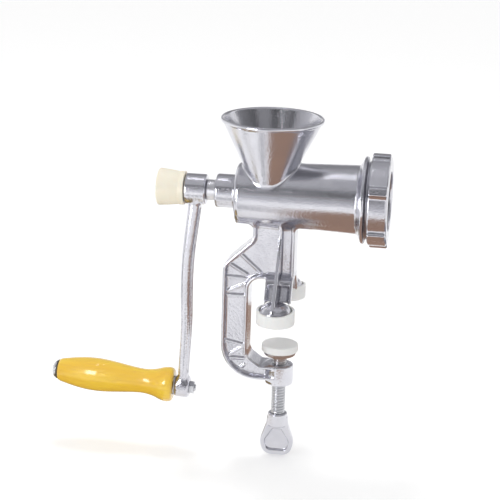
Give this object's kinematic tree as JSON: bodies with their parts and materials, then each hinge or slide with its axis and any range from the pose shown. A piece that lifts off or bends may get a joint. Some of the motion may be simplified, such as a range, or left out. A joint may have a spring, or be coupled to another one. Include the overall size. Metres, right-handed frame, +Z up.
{
  "type": "meat grinder",
  "caption": "Hand crank meat grinder that clamps to a table edge: round hopper, worm and knife in a barrel, perforated plate under a ring nut, cranked handle.",
  "frame": {"origin": "on the table top, where the clamp screw's axis meets it", "axes": "+X along the auger towards the mouth, +Z up along the clamp screw, -Y towards the user's side"},
  "size_m": [0.2844, 0.1054, 0.2957],
  "materials": {
    "cast_aluminium": "polished die casting",
    "auger_aluminium": "satin die casting",
    "steel": "bright zinc",
    "knife_steel": "ground",
    "cream_plastic": "satin",
    "white_plastic": "soft plastic",
    "yellow_wood": "yellow lacquer",
    "dark_washer": "fibre washer"
  },
  "bodies": {
    "casting": {"body_casting": "cast_aluminium", "plate_key_pin": "steel", "foot_cap_front": "white_plastic", "foot_cap_rear": "white_plastic"},
    "crank": {"auger": "auger_aluminium", "thrust_washer": "white_plastic", "knife_stud": "steel", "knife": "knife_steel", "crank_arm": "cast_aluminium", "handle_bolt": "steel", "outer_washer": "dark_washer", "inner_washer": "steel", "handle_nut": "steel"},
    "grip": {"handle_grip": "yellow_wood"},
    "knob_carrier": {"knob_washer": "steel"},
    "crank_knob": {"knob": "cream_plastic", "knob_stud": "steel"},
    "plate": {"grinding_plate": "knife_steel"},
    "ring": {"ring_nut": "cast_aluminium"},
    "pad": {"clamp_pad": "steel", "pad_cap": "white_plastic"},
    "screw": {"clamp_screw": "steel", "wing_handle": "cast_aluminium"}
  },
  "joints": [
    {"name": "crank_turn", "type": "hinge", "parent": "casting", "child": "crank", "pos_m": [0, 0, 0.1], "axis": [1, 0, 0], "continuous": true},
    {"name": "grip_spin", "type": "hinge", "parent": "crank", "child": "grip", "pos_m": [-0.0832, 0, -0.0765], "axis": [-0.9984, 0, 0.0558], "continuous": true},
    {"name": "knob_slide", "type": "slide", "parent": "crank", "child": "knob_carrier", "axis": [-1, 0, 0], "range_m": [0, 0.01188]},
    {"name": "knob_turn", "type": "hinge", "parent": "knob_carrier", "child": "crank_knob", "pos_m": [-0.0838, 0, 0.1], "axis": [-1, 0, 0], "range_deg": [0, 3430]},
    {"name": "plate_slide", "type": "slide", "parent": "casting", "child": "plate", "axis": [1, 0, 0], "range_m": [0, 0.01]},
    {"name": "ring_turn", "type": "hinge", "parent": "plate", "child": "ring", "pos_m": [0.07, 0, 0.1], "axis": [1, 0, 0], "range_deg": [0, 1450]},
    {"name": "pad_travel", "type": "slide", "parent": "casting", "child": "pad", "axis": [0, 0, 1], "range_m": [-0.0075, 0.026]},
    {"name": "clamp_turn", "type": "hinge", "parent": "pad", "child": "screw", "pos_m": [0, 0, -0.057], "axis": [0, 0, 1], "range_deg": [-1090, 3754]}
  ],
  "couplings": [
    {"joint": "knob_turn", "follows": "knob_slide", "rad_per_m": 5026.5},
    {"joint": "ring_turn", "follows": "plate_slide", "rad_per_m": 2513.3},
    {"joint": "clamp_turn", "follows": "pad_travel", "rad_per_m": 2513.3}
  ]
}
